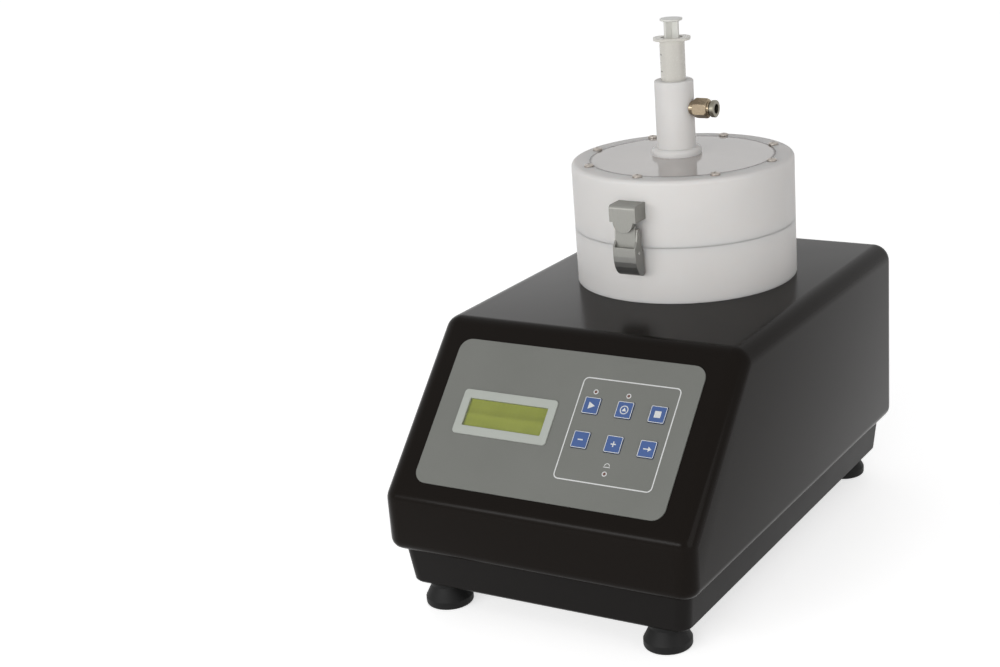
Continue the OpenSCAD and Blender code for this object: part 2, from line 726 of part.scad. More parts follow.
module lid_ring() color([0.94, 0.94, 0.93])
  on_axis(seam_z + seam_gap) difference() {
    rotate_extrude($fn = 96) {
      h = lid_h - seam_gap;
      difference() {
        union() {
          translate([lid_in, 0]) square([chamber_r - lid_in, h - lid_round]);
          translate([lid_in, 0]) square([chamber_r - lid_in - lid_round, h]);
          translate([chamber_r - lid_round, h - lid_round]) circle(lid_round);
        }
        translate([0, h - disc_t]) square([disc_r + 0.1, disc_t + 1]);
      }
    }
    for (i = [1:disc_screws]) rotate(i * 360 / disc_screws)
      translate([lid_screw_r, 0, lid_h - seam_gap - 9]) cylinder(r = lid_screw[0] + 0.05, h = 10);
    rotate(sensor_a) translate([sensor_place, 0, -1]) cylinder(r = sensor_r + 0.05, h = magnet_l + 1);
    translate([0, 0, -seam_gap]) {
      // The keeper's screws come from inside the wall
      for (x = [-keeper_screw_x, keeper_screw_x])
        translate([x, -chamber_r - 1, keeper_screw_up]) rotate([-90, 0, 0]) {
          cylinder(r = m3[0] + 0.05, h = 30);
          translate([0, 0, keeper_wall + 1]) cylinder(r = m3[1] + 0.3, h = 12);
        }
      for (p = leaf_screws) leaf_bore(p, leaf_screw_up);
    }
  }

module lid_disc() color([0.8, 0.8, 0.76, 0.5])
  on_axis(lid_top - disc_t) difference() {
    cylinder(r = disc_r, h = disc_t, $fn = 96);
    translate([holder_x, holder_y, -1]) cylinder(r = spigot_r + 0.05, h = disc_t + 2);
  }

module lid_screws() color("silver")
  on_axis(lid_top) for (i = [1:disc_screws]) rotate(i * 360 / disc_screws)
    translate([lid_screw_r, 0]) screw(lid_screw, 8);

// ---------- Hinge at the rear of the chamber ----------

leaf_w = 30;
leaf_t = 4;
leaf_l = 23;
knuckle_r = 4;
pin_r = 2;
pin_out = 5;
pin_up = seam_gap / 2;
knuckle_w = 9.6;
knuckle_gap = 0.4;
leaf_screw_up = 14.5;
leaf_screws = [-9, 9];
leaf_grip = 8;

// X across, Y up from the seam, Z away from the chamber's rear
module at_hinge() translate([0, chamber_y + chamber_r, seam_z]) rotate([90, 0, 180]) children();

// A bore for a leaf screw in a wall whose seam is at z = 0
module leaf_bore(x, up)
  translate([x, chamber_r - leaf_grip - 1, up]) rotate([-90, 0, 0]) cylinder(r = m3[0] + 0.05, h = 20);

module leaf_screw_hole(x, side) translate([0, 0, bowl_h]) leaf_bore(x, side * leaf_screw_up);

// One knuckle along X, joined to its leaf by a web on the given side
module knuckle(x, w, side)
  translate([x, 0, 0]) {
    translate([0, pin_up, pin_out]) rotate([0, 90, 0]) cylinder(r = knuckle_r, h = w, center = true);
    translate([-w / 2, side < 0 ? side * 6 : pin_up, leaf_t - 3]) cube([w, 6 + side * pin_up, 3]);
  }

module leaf(side)
  difference() {
    at_hinge() {
      translate([-leaf_w / 2, side < 0 ? -leaf_l : leaf_l - 18, -3]) cube([leaf_w, 18, 3 + leaf_t]);
      if (side > 0) knuckle(0, knuckle_w, 1);
      else for (sx = [-1, 1])
        knuckle(sx * (leaf_w + knuckle_w + 2 * knuckle_gap) / 4, (leaf_w - knuckle_w) / 2 - knuckle_gap, -1);
    }
    on_axis(seam_z - 40) cylinder(r = chamber_r, h = 80, $fn = 96);
    at_hinge() {
      translate([0, pin_up, pin_out]) rotate([0, 90, 0])
        cylinder(r = pin_r + run_fit, h = leaf_w + 2, center = true);
      for (x = leaf_screws) translate([x, side * leaf_screw_up, -5]) cylinder(r = m3[0] + 0.05, h = 20);
    }
  }

module hinge_leaf_lower() color("silver") leaf(-1);
module hinge_leaf_upper() color("silver") leaf(1);

module hinge_pin() color([0.6, 0.6, 0.6])
  at_hinge() translate([0, pin_up, pin_out]) rotate([0, 90, 0]) {
    cylinder(r = pin_r, h = leaf_w + 1.2, center = true);
    for (s = [-1, 1]) translate([0, 0, s * (leaf_w / 2 + 0.9)])
      cylinder(r = pin_r + 0.8, h = 1.2, center = true);
  }

// ---------- Latch at the front of the chamber ----------

latch_w = 16.4;
cheek_t = 1.2;
pivot_out = 8.6;
pivot_up = -1;
latch_pin_r = 1;
keeper_w = 19;
keeper_up = 20;
keeper_h = 11;
keeper_out = 13.8;
tongue_r = 7.2;
tongue_t = 3.2;
nose_w = 5.2;
nose_up = 13.6;
nose_h = 2.1;
catch_out = 9.2;
catch_t = 1.2;
catch_top = 17.5;
lever_out = 13.5;
lever_step = 3;
lever_foot = -17.5;
lever_foot_out = 3.2;
keeper_screw_x = 5;
keeper_screw_up = keeper_up + keeper_h / 2;
keeper_wall = 12;
base_t = 2.4;
base_screws = [[-3.4, -9], [3.4, -9]];
base_grip = 9;
ear_t = 1.2;
spring_wire = 0.45;
spring_leg_r = 0.38;
spring_in = 1.35;

// X across, Y up from the seam, Z away from the chamber's front
module at_latch() translate([0, chamber_y - chamber_r, seam_z]) rotate([90, 0, 0]) children();

module latch_screw_hole(x, up)
  translate([x, -chamber_r - 1, bowl_h + up]) rotate([-90, 0, 0])
    cylinder(r = m3[0] + 0.05, h = base_grip + 2);

// Draws a side profile given as [out, up] points and extrudes it across X from x0 to x1
module across(x0, x1)
  translate([x0, 0, 0]) rotate([0, 90, 0]) mirror([1, 0, 0]) linear_extrude(x1 - x0) children();

// Points of the lever's outer curve, from its foot up to the step below the tongue
lever_bend = lever_step - 6;
lever_curve = [
  for (a = [0:15:90]) [
    lever_foot_out + (lever_out - lever_foot_out) * sin(a),
    lever_foot + (lever_bend - lever_foot) * (1 - cos(a))
  ]
];

module latch_base() color([0.7, 0.7, 0.7])
  difference() {
    at_latch() {
      translate([-ear_x, -14, -3]) cube([2 * ear_x, 13, 3 + base_t]);
      for (s = [-1, 1]) translate([s * (ear_x - ear_t / 2), 0, 0]) {
        translate([0, pivot_up, pivot_out]) rotate([0, 90, 0]) cylinder(r = 2.6, h = ear_t, center = true);
        translate([-ear_t / 2, pivot_up - 2.6, 1]) cube([ear_t, 5.2, pivot_out - 1]);
      }
    }
    on_axis(seam_z - 40) cylinder(r = chamber_r, h = 80, $fn = 96);
    at_latch() {
      translate([0, pivot_up, pivot_out]) rotate([0, 90, 0])
        cylinder(r = latch_pin_r + 0.02, h = latch_w, center = true);
      for (p = base_screws) translate([p[0], p[1], -5]) cylinder(r = m3[0] + 0.05, h = 12);
    }
  }

ear_x = latch_w / 2 - cheek_t - 0.4;

module latch_pin() color("silver")
  at_latch() translate([0, pivot_up, pivot_out]) rotate([0, 90, 0])
    cylinder(r = latch_pin_r, h = latch_w + 0.6, center = true);

// Torsion spring: coils around the pin, one leg on the base and one behind the lever
module latch_spring() color([0.5, 0.5, 0.5])
  at_latch() translate([0, pivot_up, pivot_out]) {
    coils = 6;
    pitch = spring_wire * 1.8;
    // Half angle of the bare arc on each side of a coil that its neighbours touch
    bare = 54;
    rotate([0, 90, 0]) rotate_extrude() translate([spring_in + spring_wire, 0]) polygon([
      for (side = [0, 180], i = [0:coils - 1], a = [-bare:18:bare]) [
        spring_wire * cos(side + a),
        (side == 0 ? 1 : -1) * (i - (coils - 1) / 2) * pitch + spring_wire * sin(side + a)
      ]
    ]);
    leg = spring_in + spring_wire;
    translate([-(coils - 1) / 2 * pitch, -leg, -pivot_out + base_t])
      cylinder(r = spring_leg_r, h = pivot_out - base_t);
    translate([(coils - 1) / 2 * pitch, 0, leg]) rotate([90, 0, 0]) cylinder(r = spring_leg_r, h = 7);
  }

// A bent channel: a catch plate above, a curved finger front below, and a cheek on each side
module latch_lever() color([0.62, 0.62, 0.62])
  at_latch() difference() {
    union() {
      inner = concat([for (p = lever_curve) [p[0] - 1.2, p[1] + 0.4]], [[lever_out - 1.2, lever_step - 1.2]]);
      across(-latch_w / 2 + cheek_t - eps, latch_w / 2 - cheek_t + eps) polygon(concat(
        lever_curve, [
          [lever_out, lever_step], [catch_out + catch_t, lever_step], [catch_out + catch_t, catch_top],
          [catch_out, catch_top], [catch_out, lever_step - 1.2]
        ],
        [for (i = [len(inner) - 1:-1:0]) inner[i]]
      ));
      for (x0 = [-latch_w / 2, latch_w / 2 - cheek_t]) across(x0, x0 + cheek_t)
        polygon(concat(
          lever_curve, [[lever_out, lever_step], [catch_out + catch_t, lever_step + 4], [catch_out, 15],
          [catch_out - 2.4, 15], [4.4, 1], [2.4, -3], [1.8, lever_foot + 1.5]]
        ));
    }
    translate([0, pivot_up, pivot_out]) rotate([0, 90, 0])
      cylinder(r = latch_pin_r + run_fit, h = latch_w + 2, center = true);
    // Window that the keeper's nose drops into
    translate([-nose_w / 2 - 0.5, nose_up - 0.4, catch_out - 1])
      cube([nose_w + 1, nose_h + 0.7, catch_t + 2]);
  }

// A block on the lid with a half-round tongue and a ramped nose behind the tongue
module latch_keeper() color([0.66, 0.66, 0.66])
  difference() {
    at_latch() {
      round_r = 2.5;
      across(-keeper_w / 2, keeper_w / 2) difference() {
        translate([-3, keeper_up]) square([3 + keeper_out, keeper_h]);
        translate([keeper_out - round_r, keeper_up + keeper_h - round_r]) difference() {
          square(round_r + 1);
          circle(round_r);
        }
      }
      translate([0, keeper_up + eps, keeper_out - tongue_t]) linear_extrude(tongue_t) intersection() {
        circle(tongue_r);
        translate([-tongue_r, -tongue_r]) square([2 * tongue_r, tongue_r]);
      }
      across(-nose_w / 2, nose_w / 2) polygon([
        [keeper_out - tongue_t + eps, nose_up], [keeper_out - tongue_t + eps, nose_up + nose_h],
        [catch_out - 0.6, nose_up + nose_h], [catch_out - 0.6, nose_up + nose_h - 0.8]
      ]);
    }
    on_axis(seam_z - 40) cylinder(r = chamber_r, h = 80, $fn = 96);
    at_latch() for (x = [-keeper_screw_x, keeper_screw_x])
      translate([x, keeper_screw_up, -5]) cylinder(r = m3[0] + 0.05, h = 12);
  }

module bowl_hardware_screws() color("silver") {
  at_latch() for (p = base_screws) translate([p[0], p[1], base_t]) screw(m3, base_t + base_grip);
  at_hinge() for (x = leaf_screws) translate([x, -leaf_screw_up, leaf_t]) screw(m3, leaf_t + leaf_grip);
}

module lid_hardware_screws() color("silver") {
  at_latch() for (x = [-keeper_screw_x, keeper_screw_x])
    translate([x, keeper_screw_up, -keeper_wall]) mirror([0, 0, 1]) screw(m3, keeper_wall + 6);
  at_hinge() for (x = leaf_screws) translate([x, leaf_screw_up, leaf_t]) screw(m3, leaf_t + leaf_grip);
}

// ---------- Syringe holder, gas fitting and syringe ----------

spigot_r = 9.9;
step_h = 6;
holder_slip = 0.3;
hub_bore = 4.2;
neck_r = 4.8;
neck_in = 4;

// Places children on the holder's axis at height z
module on_holder(z) translate([holder_x, chamber_y + holder_y, z]) children();

// Places children on the gas fitting's axis: Z points away from the holder
module on_fitting() on_holder(lid_top + fitting_z) rotate([0, 90, 0]) children();

module syringe_holder() color([0.94, 0.95, 0.95])
  difference() {
    on_holder(lid_top) rotate_extrude($fn = 64) {
      edge = 2.4;
      chamfer = 0.6;
      polygon([
        [0, -disc_t - 2], [spigot_r, -disc_t - 2], [spigot_r, 0], [flange_r, 0], [flange_r, 5 - edge],
        [flange_r - edge, 5 - edge], [flange_r - edge, 5], [holder_r, 5], [holder_r, holder_h - chamfer],
        [holder_r - chamfer, holder_h], [0, holder_h]
      ]);
      translate([flange_r - edge, 5 - edge]) circle(edge);
    }
    on_holder(lid_top + step_h) cylinder(r = barrel_r + holder_slip, h = holder_h);
    on_holder(lid_top - disc_t - 3) cylinder(r = hub_bore, h = 20);
    on_fitting() {
      translate([0, 0, holder_r - neck_in]) cylinder(r = neck_r + 0.03, h = 10);
      cylinder(r = passage_r, h = holder_r);
    }
  }

body_foot = 1.8;
hex_l = 11;
hex_r = 6.9;
collar_gap = 1.1;
socket_l = 7;
sleeve_r = 4.2;
mouth = holder_r + body_foot + hex_l + 1;
sleeve_in = 5;
collar_t = 3;

module gas_fitting() color([0.72, 0.58, 0.4])
  on_fitting() difference() {
    union() {
      translate([0, 0, holder_r - neck_in]) cylinder(r = neck_r, h = neck_in + body_foot + 1);
      translate([0, 0, holder_r + body_foot]) intersection() {
        cylinder(r = hex_r, h = hex_l, $fn = 6);
        rotate_extrude() {
          round_r = 2.2;
          translate([0, round_r]) square([hex_r, hex_l - 2 * round_r]);
          square([hex_r - round_r, hex_l]);
          for (z = [round_r, hex_l - round_r]) translate([hex_r - round_r, z]) circle(round_r);
        }
      }
      translate([0, 0, mouth - 2]) cylinder(r = 5, h = 2);
    }
    cylinder(r = passage_r, h = 40);
    translate([0, 0, mouth - sleeve_in - 1 - socket_l]) cylinder(r = tube_r, h = 30);
    translate([0, 0, mouth - sleeve_in - 1]) cylinder(r = sleeve_r + 0.05, h = 30);
  }

module fitting_collar() color([0.7, 0.71, 0.7])
  on_fitting() difference() {
    union() {
      translate([0, 0, mouth - sleeve_in + collar_gap]) cylinder(r = sleeve_r, h = sleeve_in + 1);
      translate([0, 0, mouth + collar_gap]) rotate_extrude() {
        square([5.3, collar_t]);
        translate([0, 0.5]) square([5.8, collar_t - 1]);
        for (z = [0.5, collar_t - 0.5]) translate([5.3, z]) circle(0.5);
      }
    }
    translate([0, 0, mouth - sleeve_in]) cylinder(r = tube_r + 0.2, h = 20);
  }

barrel_wall = 1;
barrel_floor = 1.5;
step_z = lid_top + step_h;
barrel_top = step_z + barrel_l;
finger_l = 25.4;
finger_w = 18.4;
finger_t = 1.8;
finger_a = 29;
tip_r = 2.1;
tip_l = 9;
thumb_t = 1.6;
thumb_r = 7.8;
seal_h = 7;
rib_w = 12.6;
rib_t = 1.5;
plunger_down = plunger_out - thumb_t - 1;
seal_z = step_z + barrel_floor + plunger_down + 0.2;
thumb_z = barrel_top + plunger_out;

module syringe_barrel() color([0.93, 0.94, 0.92])
  on_holder(step_z) difference() {
    union() {
      rotate_extrude() polygon([
        [0, -tip_l], [tip_r - 0.2, -tip_l], [tip_r, 0], [barrel_r - 0.8, 0], [barrel_r, 0.8],
        [barrel_r, barrel_l], [0, barrel_l]
      ]);
      translate([0, 0, barrel_l - finger_t]) rotate(finger_a) linear_extrude(finger_t) intersection() {
        circle(finger_l / 2);
        square([finger_l + 1, finger_w], center = true);
      }
    }
    translate([0, 0, barrel_floor]) cylinder(r = barrel_r - barrel_wall, h = barrel_l);
    translate([0, 0, -tip_l - 1]) cylinder(r = 0.9, h = 20);
  }

module syringe_needle() color([0.72, 0.74, 0.76])
  on_holder(step_z - tip_l) difference() {
    union() {
      translate([0, 0, -6]) cylinder(r = 3.3, h = 13);
      for (a = [0:60:300]) rotate(a) translate([2.6, -0.5, -6]) cube([1.1, 1, 9]);
      translate([0, 0, -24]) cylinder(r = 0.6, h = 19);
    }
    translate([0, 0, -0.5]) cylinder(r = tip_r + 0.05, h = 10);
    translate([0, 0, -25]) cylinder(r = 0.3, h = 30, $fn = 24);
  }

module syringe_plunger() color([0.95, 0.95, 0.94])
  on_holder(0) {
    translate([0, 0, thumb_z - thumb_t]) rotate_extrude() {
      square([thumb_r - thumb_t / 2, thumb_t]);
      translate([thumb_r - thumb_t / 2, thumb_t / 2]) circle(thumb_t / 2);
    }
    for (a = [45, 135]) rotate(finger_a + a) translate([-rib_w / 2, -rib_t / 2, seal_z + seal_h])
      cube([rib_w, rib_t, thumb_z - thumb_t - seal_z - seal_h + eps]);
    // Round collar above the seal
    translate([0, 0, seal_z + seal_h]) cylinder(r = barrel_r - barrel_wall - 0.4, h = 1.5);
  }

module plunger_seal() color([0.1, 0.1, 0.1])
  on_holder(seal_z) rotate_extrude() {
    r = barrel_r - barrel_wall - 0.05;
    polygon([
      [0, 0], [r - 0.9, 0.9], [r, 1.2], [r, 2.4], [r - 0.6, 2.9], [r - 0.6, seal_h - 2.4],
      [r, seal_h - 1.9], [r, seal_h - 0.5], [r - 0.5, seal_h], [0, seal_h]
    ]);
  }

housing_cover();
base_tray();
rubber_feet();
foot_screws();
panel_overlay();
display_bezel();
display_window();
display_module();
panel_board();
indicator_lamps();
key_run();
key_pump();
key_stop();
key_minus();
key_plus();
key_cursor();
motor_plate();
motor_housing();
stator();
rotor();
spindle_bearings();
spindle_shaft();
vacuum_chuck();
chuck_seal();
rotary_union();
vacuum_hose();
solenoid_valve();
vacuum_port();
power_supply();
control_board();
power_inlet();
fuse_holder();
rocker_frame();
power_rocker();
pump_outlet();
chamber_bowl();
bowl_screws();
lid_seal();
cover_sensor();
hinge_leaf_lower();
hinge_pin();
bowl_hardware_screws();
latch_base();
latch_pin();
latch_spring();
latch_lever();
lid_ring();
lid_disc();
lid_screws();
lid_magnet();
hinge_leaf_upper();
latch_keeper();
lid_hardware_screws();
syringe_holder();
gas_fitting();
fitting_collar();
syringe_barrel();
syringe_needle();
syringe_plunger();
plunger_seal();
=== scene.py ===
import json
import math
import bpy
import bmesh
from mathutils import Euler, Matrix, Vector


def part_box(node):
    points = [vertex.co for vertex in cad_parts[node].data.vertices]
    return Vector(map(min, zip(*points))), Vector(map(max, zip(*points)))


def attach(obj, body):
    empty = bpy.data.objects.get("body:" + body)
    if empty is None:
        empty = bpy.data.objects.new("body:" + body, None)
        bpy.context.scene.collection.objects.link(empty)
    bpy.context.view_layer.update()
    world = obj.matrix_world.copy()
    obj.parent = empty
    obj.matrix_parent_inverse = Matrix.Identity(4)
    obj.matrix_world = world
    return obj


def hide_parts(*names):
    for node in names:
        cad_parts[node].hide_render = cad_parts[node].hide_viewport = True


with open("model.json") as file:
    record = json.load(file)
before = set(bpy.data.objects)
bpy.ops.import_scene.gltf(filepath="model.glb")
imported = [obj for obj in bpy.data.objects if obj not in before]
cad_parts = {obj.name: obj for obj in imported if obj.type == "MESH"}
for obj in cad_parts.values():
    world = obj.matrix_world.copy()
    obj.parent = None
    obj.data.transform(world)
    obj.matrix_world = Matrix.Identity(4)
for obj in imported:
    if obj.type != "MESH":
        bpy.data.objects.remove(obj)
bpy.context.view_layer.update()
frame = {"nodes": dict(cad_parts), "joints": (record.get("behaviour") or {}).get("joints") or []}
nodes = frame["nodes"]

MM = 0.001


# ---------- Places, worked out from the frame, in metres ----------

def centre(node):
    low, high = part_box(node)
    return (low + high) / 2


def foot(node):
    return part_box(node)[0].z


def top(node):
    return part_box(node)[1].z


FRONT_Y, REAR_Y = (corner.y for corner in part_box("housing_cover"))
CHAMBER = centre("chamber_bowl")
CHAMBER_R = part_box("chamber_bowl")[1].x
DISC_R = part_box("lid_disc")[1].x
DISC_TOP = top("lid_disc")
SYRINGE = centre("syringe_needle")
# The barrel's wall stands above its tip and is narrower than its finger flange
TIP_L = 9 * MM
BARREL_FOOT = foot("syringe_barrel") + TIP_L
BARREL_R = 8.5 * MM

# Heights above the slope in millimetres, of the panel's film and of the keys
FILM_TOP = 0.9
KEY_TOP = 1.5

# The keys press square to the slope, and the film's upper edge shows how high it is
press = next(joint["axis"] for joint in frame["joints"] if joint["name"] == "key_run_press")
SLOPE_A = math.atan2(press[1], -press[2])
film_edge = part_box("panel_overlay")[1]
BEND_Z = film_edge.z - FILM_TOP * MM * math.cos(SLOPE_A) - (film_edge.y - FRONT_Y) * math.tan(SLOPE_A)

# The slope's own frame in millimetres: X across, Y up from the bend, Z out of it
ON_SLOPE = Matrix.Translation((0, FRONT_Y, BEND_Z)) @ Matrix.Rotation(SLOPE_A, 4, "X") @ Matrix.Scale(MM, 4)

# How far up the slope the rows of keys and the lamps are, in millimetres
KEY_ROWS = {
    78.5: ("key_run", "key_pump", "key_stop"),
    55.5: ("key_minus", "key_plus", "key_cursor"),
}
KEYS = {name: (centre(name).x / MM, v) for v, names in KEY_ROWS.items() for name in names}
STATE_LAMPS_V = 88
COVER_LAMP_V = 36
LAMPS = [
    (KEYS["key_run"][0], STATE_LAMPS_V), (KEYS["key_pump"][0], STATE_LAMPS_V),
    (KEYS["key_plus"][0], COVER_LAMP_V),
]


# ---------- Node helpers ----------

class Graph:
    """A material's node tree with its Principled shader, and short calls that add nodes to it."""

    def __init__(self, name):
        self.material = bpy.data.materials.new(name)
        self.material.use_nodes = True
        self.tree = self.material.node_tree
        self.tree.nodes.clear()
        self.out = self.tree.nodes.new("ShaderNodeOutputMaterial")
        self.shader = self.add("ShaderNodeBsdfPrincipled")
        self.link(self.shader.outputs["BSDF"], self.out.inputs["Surface"])
        self.coords = self.add("ShaderNodeTexCoord").outputs["Object"]

    def add(self, kind, **props):
        node = self.tree.nodes.new(kind)
        for key, value in props.items():
            setattr(node, key, value)
        return node

    def link(self, a, b):
        self.tree.links.new(a, b)

    def mapped(self, scale=(1, 1, 1), rotation=(0, 0, 0)):
        """The object's coordinates in metres, scaled and turned."""
        node = self.add("ShaderNodeMapping")
        node.inputs["Scale"].default_value = scale
        node.inputs["Rotation"].default_value = rotation
        self.link(self.coords, node.inputs["Vector"])
        return node.outputs["Vector"]

    def noise(self, size, detail=3.0, rough=0.5, stretch=(1, 1, 1)):
        """Noise with features of about that size in metres, 0 to 1."""
        node = self.add("ShaderNodeTexNoise")
        node.inputs["Scale"].default_value = 1.0 / size
        node.inputs["Detail"].default_value = detail
        node.inputs["Roughness"].default_value = rough
        self.link(self.mapped(stretch), node.inputs["Vector"])
        return node.outputs["Fac"]

    def remap(self, value, lo, hi, from_lo=0.3, from_hi=0.7):
        """The value spread over lo to hi. Noise is spread from the middle of its range."""
        node = self.add("ShaderNodeMapRange")
        node.inputs["From Min"].default_value = from_lo
        node.inputs["From Max"].default_value = from_hi
        node.inputs["To Min"].default_value = lo
        node.inputs["To Max"].default_value = hi
        self.link(value, node.inputs["Value"])
        return node.outputs["Result"]

    def mix(self, fac, a, b):
        """A colour between a and b."""
        node = self.add("ShaderNodeMix", data_type="RGBA")
        for socket, value in ((node.inputs[0], fac), (node.inputs[6], a), (node.inputs[7], b)):
            if hasattr(value, "default_value"):
                self.link(value, socket)
            elif isinstance(value, (int, float)):
                socket.default_value = value
            else:
                socket.default_value = (*value, 1.0)
        return node.outputs[2]

    def math(self, op, a, b=0.0, c=0.0):
        node = self.add("ShaderNodeMath", operation=op)
        for socket, value in zip(node.inputs, (a, b, c)):
            if hasattr(value, "default_value"):
                self.link(value, socket)
            else:
                socket.default_value = value
        return node.outputs[0]

    def split(self, vector):
        """A vector's three parts."""
        node = self.add("ShaderNodeSeparateXYZ")
        self.link(vector, node.inputs[0])
        return node.outputs

    def bump(self, height, depth, normal=None):
        """A bump whose full height is depth metres, laid over the normal."""
        node = self.add("ShaderNodeBump")
        node.inputs["Strength"].default_value = 1.0
        node.inputs["Distance"].default_value = depth
        self.link(height, node.inputs["Height"])
        if normal is not None:
            self.link(normal, node.inputs["Normal"])
        return node.outputs["Normal"]

    def edges(self, radius):
        """A normal that rounds the solid's edges off."""
        node = self.add("ShaderNodeBevel", samples=4)
        node.inputs["Radius"].default_value = radius
        return node.outputs["Normal"]

    def set(self, **values):
        """Sets the shader's sockets: a node output is linked, anything else is written on the socket."""
        for key, value in values.items():
            socket = self.shader.inputs[key.replace("_", " ")]
            if hasattr(value, "default_value"):
                self.link(value, socket)
            elif isinstance(value, tuple) and len(value) == 3 and socket.type == "RGBA":
                socket.default_value = (*value, 1.0)
            else:
                socket.default_value = value


def shade(colour, by):
    """The colour times by, at most white."""
    return tuple(min(1, c * by) for c in colour)


def moulded(name, colour, rough, grain=0.45, depth=0.012, patch=0.08, edge=0.4, wave=0.010, **sockets):
    """Moulded plastic or rubber: a fine surface grain, broad soft unevenness and rounded edges.

    In millimetres, grain and depth are the grain's size and height, edge the rounding of edges and wave the
    height of broad soft waves. wave is also how far the roughness wanders, and patch how far the colour does.
    """
    cloud_size, gloss_size, wave_size = 35 * MM, 18 * MM, 4 * MM
    g = Graph(name)
    base = g.mix(g.remap(g.noise(cloud_size, 4), 0, 1), shade(colour, 1 - patch), shade(colour, 1 + patch))
    uneven = g.remap(g.noise(gloss_size, 3), rough - 2 * wave, rough + 3 * wave)
    normal = g.bump(g.noise(grain * MM, 2, 0.6), depth * MM, normal=g.edges(edge * MM))
    normal = g.bump(g.noise(wave_size, 2), wave * MM, normal=normal)
    g.set(Base_Color=base, Roughness=uneven, Normal=normal, **sockets)
    return g.material


def metal(name, colour, rough, brush=(1, 1, 1), line=0.25):
    """Metal with fine tool or brush lines, line millimetres apart.

    brush stretches the lines along the axis with the small number.
    """
    cloud_size, line_depth, edge = 6 * MM, 0.004 * MM, 0.25 * MM
    patch, line_shade = 0.06, 0.86
    g = Graph(name)
    lines = g.noise(line * MM, 4, 0.6, stretch=brush)
    base = g.mix(g.remap(g.noise(cloud_size, 4), 0, 1), shade(colour, 1 - patch), colour)
    base = g.mix(g.remap(lines, 0.0, 0.35), base, shade(colour, line_shade))
    uneven = g.remap(lines, rough - 0.05, rough + 0.07)
    normal = g.bump(lines, line_depth, normal=g.edges(edge))
    g.set(Base_Color=base, Metallic=1.0, Roughness=uneven, Normal=normal)
    return g.material


def clear(name, colour, rough, alpha, alpha_edge, coat=0.0, level=0.5):
    """A clear or milky wall with fine scratches: alpha face on, and denser up to alpha_edge at its edges."""
    acrylic_ior, cloud_size, scratch_size, scratch_depth = 1.49, 30 * MM, 0.9 * MM, 0.0006 * MM
    g = Graph(name)
    facing = g.add("ShaderNodeLayerWeight")
    facing.inputs["Blend"].default_value = 0.35
    scratches = g.noise(scratch_size, 3, 0.6, stretch=(1, 0.12, 1))
    base = g.mix(g.remap(g.noise(cloud_size, 3), 0, 1), shade(colour, 0.96), colour)
    g.set(
        Base_Color=base, Roughness=g.remap(scratches, rough, rough + 0.05),
        Alpha=g.remap(facing.outputs["Facing"], alpha, alpha_edge, 0.0, 1.0),
        Normal=g.bump(scratches, scratch_depth, normal=g.edges(0.3 * MM)), IOR=acrylic_ior,
        Coat_Weight=coat, Specular_IOR_Level=level,
    )
    return g.material


# ---------- Materials ----------

def make_white():
    """White polymer, milky under its surface, with the lathe's faint lines around the chamber."""
    lathe_pitch, lathe_waver = 0.55 * MM, 6
    g = Graph("turned_white_polymer")
    z = g.split(g.coords)["Z"]
    waver = g.math("MULTIPLY", g.noise(50 * MM, 2), lathe_waver)
    turned = g.math("SINE", g.math("MULTIPLY_ADD", z, 2 * math.pi / lathe_pitch, waver))
    cloud = g.remap(g.noise(50 * MM, 4, 0.55), 0, 1)
    base = g.mix(cloud, (0.765, 0.750, 0.730), (0.785, 0.770, 0.750))
    fine = g.noise(0.6 * MM, 2)
    normal = g.bump(turned, 0.0012 * MM, normal=g.edges(0.25 * MM))
    normal = g.bump(fine, 0.004 * MM, normal=normal)
    g.set(
        Base_Color=base, Roughness=g.remap(g.noise(20 * MM, 3), 0.45, 0.52), Normal=normal,
        Subsurface_Weight=0.5, Subsurface_Scale=8 * MM, Subsurface_Radius=(1.0, 0.9, 0.85),
        Specular_IOR_Level=0.25,
    )
    return g.material


def make_overlay():
    """The panel's grey film with a fine sparkle."""
    g = Graph("grey_panel_film")
    base = g.mix(g.remap(g.noise(50 * MM, 3), 0, 1), (0.158, 0.163, 0.147), (0.174, 0.179, 0.163))
    base = g.mix(g.remap(g.noise(0.5 * MM, 2), 0.0, 0.25), base, (0.192, 0.197, 0.182))
    normal = g.bump(g.noise(0.4 * MM, 2), 0.006 * MM, normal=g.edges(0.3 * MM))
    g.set(Base_Color=base, Roughness=g.remap(g.noise(20 * MM, 3), 0.42, 0.5), Normal=normal)
    return g.material


def make_display():
    """Yellow-green display glass with the faint cells of two rows of sixteen characters."""
    cell_w, cell_h = 3.4 * MM, 6.6 * MM
    g = Graph("display_glass_green")
    slope = g.split(g.mapped(rotation=(-SLOPE_A, 0, 0)))
    # Across the slope and up it, counted in cells
    u = g.math("MULTIPLY", slope["X"], 1 / cell_w)
    v = g.math("MULTIPLY", slope["Y"], 1 / cell_h)
    in_u = g.math("LESS_THAN", g.math("FRACT", u), 0.84)
    in_v = g.math("LESS_THAN", g.math("FRACT", v), 0.88)
    cell = g.math("MULTIPLY", in_u, in_v)
    base = g.mix(g.remap(g.noise(20 * MM, 3), 0, 1), (0.29, 0.325, 0.047), (0.355, 0.385, 0.060))
    base = g.mix(g.math("MULTIPLY", cell, 0.16), base, (0.12, 0.16, 0.03))
    g.set(
        Base_Color=base, Roughness=0.4, Specular_IOR_Level=0.2,
        Normal=g.bump(cell, 0.003 * MM, normal=g.edges(0.2 * MM)),
    )
    return g.material


